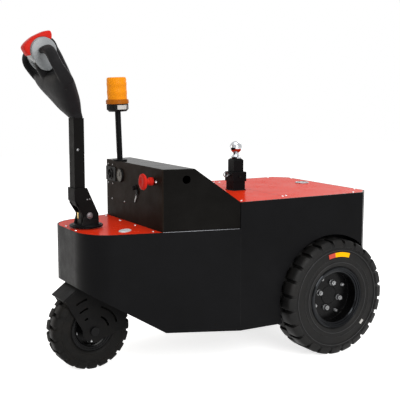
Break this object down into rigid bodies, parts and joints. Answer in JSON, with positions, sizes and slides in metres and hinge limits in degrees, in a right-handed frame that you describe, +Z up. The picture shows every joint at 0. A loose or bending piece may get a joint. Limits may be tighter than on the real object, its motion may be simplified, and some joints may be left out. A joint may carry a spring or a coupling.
{
  "type": "walkie tow tractor",
  "caption": "Pedestrian-led battery tow tractor with a steered front wheel, folding tiller, driven rear wheels, deck plates, warning beacon and tow ball.",
  "frame": {"origin": "on the ground, below the middle of the machine's length and width", "axes": "+X forward, towards the tiller; +Y to the left; +Z up"},
  "size_m": [1.3744, 0.734, 1.2616],
  "materials": {
    "black_paint": "fine-textured powder coat",
    "red_paint": "smooth semi-gloss enamel",
    "tyre_rubber": "matt moulded rubber",
    "steel": "bright zinc plate",
    "tow_chrome": "polished chrome",
    "zinc_yellow": "yellow zinc plate",
    "cast_housing": "painted casting",
    "battery_case": "matt",
    "black_plastic": "fine moulded grain",
    "grey_plastic": "satin",
    "red_plastic": "gloss",
    "gauge_glass": "gloss",
    "amber_lens": "clear ribbed plastic"
  },
  "bodies": {
    "chassis": {"front_wrap": "black_paint", "side_left": "black_paint", "side_right": "black_paint", "rear_panel": "black_paint", "floor_pan": "black_paint", "rail_left": "black_paint", "rail_right": "black_paint", "wheel_well": "black_paint", "battery": "battery_case", "hood": "black_paint", "dash_panel": "black_paint", "front_deck": "red_paint", "rear_deck_front": "red_paint", "rear_deck_rear": "red_paint", "tow_socket": "black_paint", "tow_post": "black_paint", "tow_ball": "tow_chrome", "tow_pin": "steel", "axle_housing": "cast_housing", "drive_motor": "cast_housing", "estop": "red_plastic", "key_switch": "steel", "gauge": "gauge_glass", "charge_socket": "black_plastic", "mast": "black_paint", "beacon_base": "black_plastic", "beacon_lens": "amber_lens"},
    "rear_wheel_left": {"hub_left": "steel", "rim_left": "black_paint", "tyre_left": "tyre_rubber"},
    "rear_wheel_right": {"hub_right": "steel", "rim_right": "black_paint", "tyre_right": "tyre_rubber"},
    "steering": {"tiller_flange": "zinc_yellow", "steer_shaft": "steel", "fork_crown": "black_paint", "fork_cheeks": "black_paint", "front_axle": "steel"},
    "front_wheel": {"front_rim": "black_paint", "front_tyre": "tyre_rubber"},
    "tiller": {"tiller_pin": "steel", "tiller_yoke": "black_paint", "tiller_arm": "black_paint", "tiller_head": "black_plastic", "grip_left": "black_plastic", "grip_right": "black_plastic", "throttle": "grey_plastic", "belly_switch": "red_plastic"}
  },
  "joints": [
    {"name": "steer", "type": "hinge", "parent": "chassis", "child": "steering", "pos_m": [0.45826, 0, 0.4], "axis": [0, 0, 1], "range_deg": [-80, 80]},
    {"name": "front_wheel_spin", "type": "hinge", "parent": "steering", "child": "front_wheel", "pos_m": [0.45826, 0, 0.155], "axis": [0, 1, 0], "continuous": true},
    {"name": "tiller_tilt", "type": "hinge", "parent": "steering", "child": "tiller", "pos_m": [0.45826, 0, 0.59], "axis": [0, 1, 0], "range_deg": [0, 70], "stiffness_Nm_per_rad": 45, "springref_deg": -11.46},
    {"name": "rear_left_spin", "type": "hinge", "parent": "chassis", "child": "rear_wheel_left", "pos_m": [-0.45474, 0.302, 0.2325], "axis": [0, 1, 0], "continuous": true},
    {"name": "rear_right_spin", "type": "hinge", "parent": "chassis", "child": "rear_wheel_right", "pos_m": [-0.45474, -0.302, 0.2325], "axis": [0, 1, 0], "continuous": true}
  ]
}
